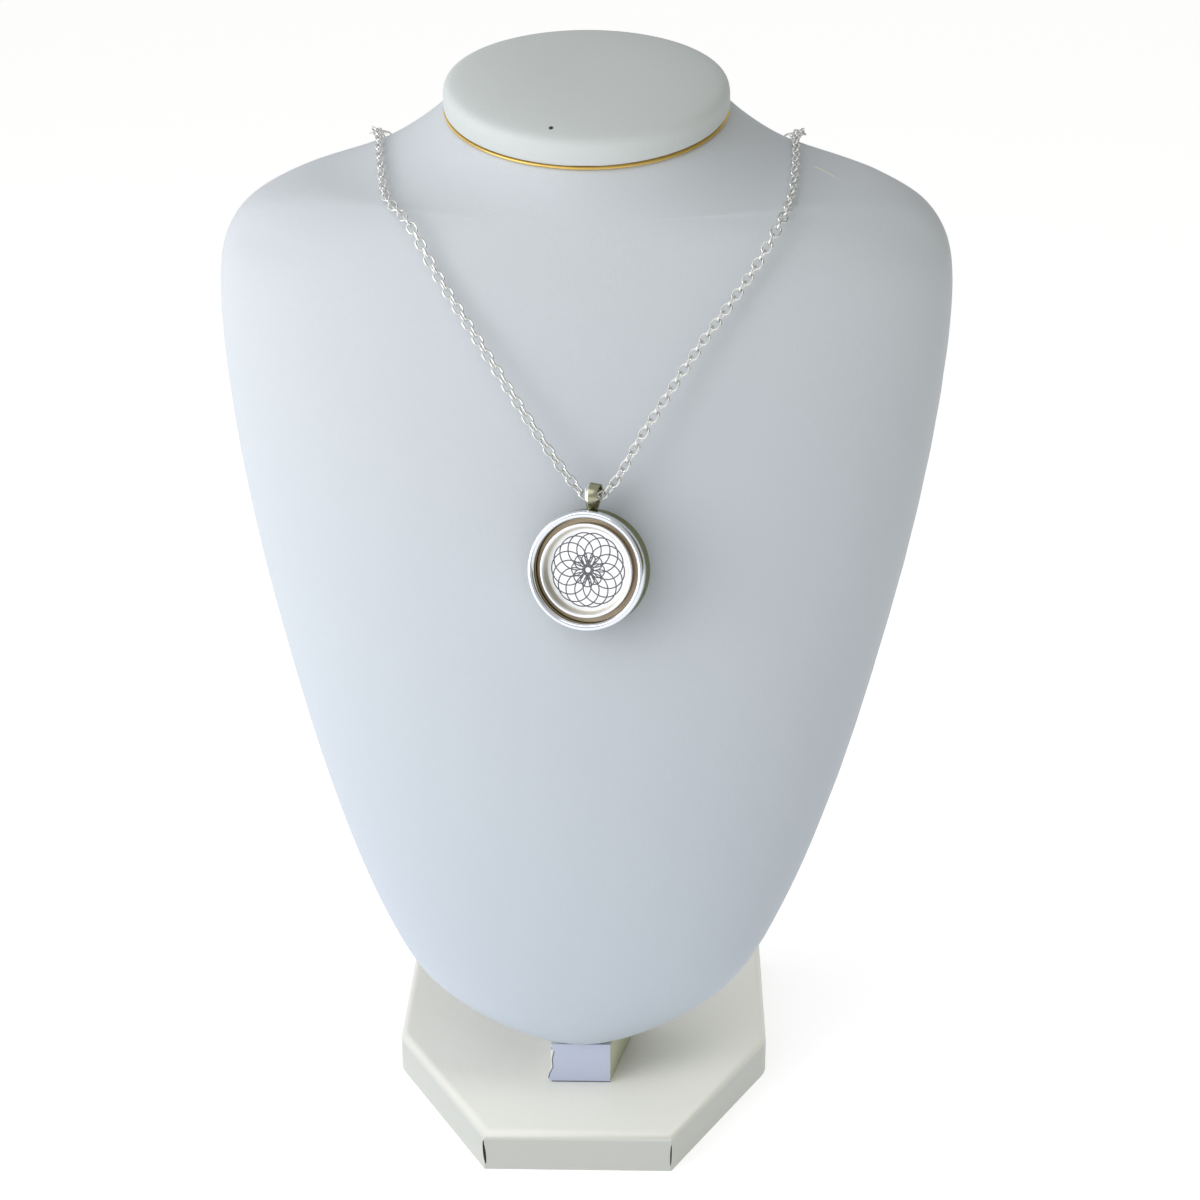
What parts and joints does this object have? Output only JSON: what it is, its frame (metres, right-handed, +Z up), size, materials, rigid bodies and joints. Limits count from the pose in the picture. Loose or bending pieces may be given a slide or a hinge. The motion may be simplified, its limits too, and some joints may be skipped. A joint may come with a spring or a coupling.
{
  "type": "disc pendant necklace on a neck bust stand",
  "caption": "Silver disc pendant with a polished rim and an engraved floor, on a cable chain around a padded neck bust with its own foot.",
  "frame": {"origin": "centre of the base's underside, on the surface that the stand rests on", "axes": "+Z up, -Y towards the front of the bust, +X to the right as seen from the front"},
  "size_m": [0.1952, 0.1289, 0.2784],
  "materials": {
    "bust_cover": "fine grained white leatherette",
    "base_cover": "fine grained white leatherette, folded at the corners",
    "post_cover": "white leatherette",
    "gold_trim": "satin gold braid",
    "chain_silver": "polished silver",
    "polished_silver": "polished silver",
    "satin_silver": "satin silver with fine engraving"
  },
  "bodies": {
    "stand": {"base": "base_cover", "post": "post_cover", "bust": "bust_cover", "neck_trim": "gold_trim", "neck_cap": "bust_cover", "chain_left": "chain_silver", "chain_right": "chain_silver", "clasp": "chain_silver"},
    "pendant": {"pendant_case": "polished_silver", "bezel_ring": "polished_silver", "medallion": "satin_silver"}
  },
  "joints": [
    {"name": "pendant_swing", "type": "hinge", "parent": "stand", "child": "pendant", "pos_m": [0.00344, -0.02491, 0.1749], "axis": [-0.9744, 0.225, 0], "range_deg": [0, 110]}
  ]
}
